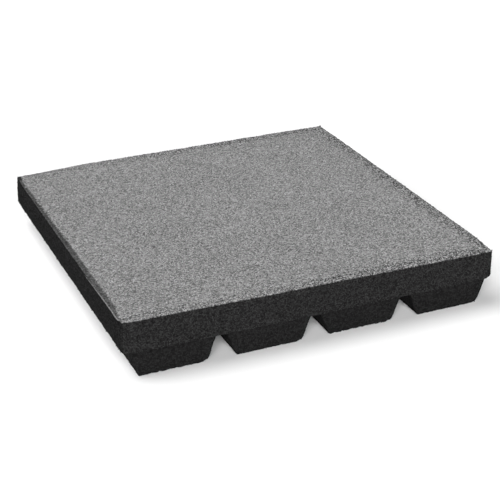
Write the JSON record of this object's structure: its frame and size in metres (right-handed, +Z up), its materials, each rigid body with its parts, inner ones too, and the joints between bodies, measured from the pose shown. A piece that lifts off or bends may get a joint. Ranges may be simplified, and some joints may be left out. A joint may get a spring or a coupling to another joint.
{
  "type": "rubber tile",
  "caption": "Square tile of bonded rubber granulate: a flat impact-absorbing slab moulded in one with parallel ribs that leave open drainage channels underneath.",
  "frame": {"origin": "middle of the underside, on the floor that the ribs rest on", "axes": "+Z up through the thickness, out of the top face; the ribs and drainage channels run along Y; the front end, as seen in the picture, faces -Y"},
  "size_m": [0.5, 0.5, 0.074],
  "materials": {
    "rubber_granulate": "matt bonded granulate, mid grey on the top face and near black on the sides and underside"
  },
  "bodies": {
    "root": {"tile": "rubber_granulate"}
  },
  "joints": []
}
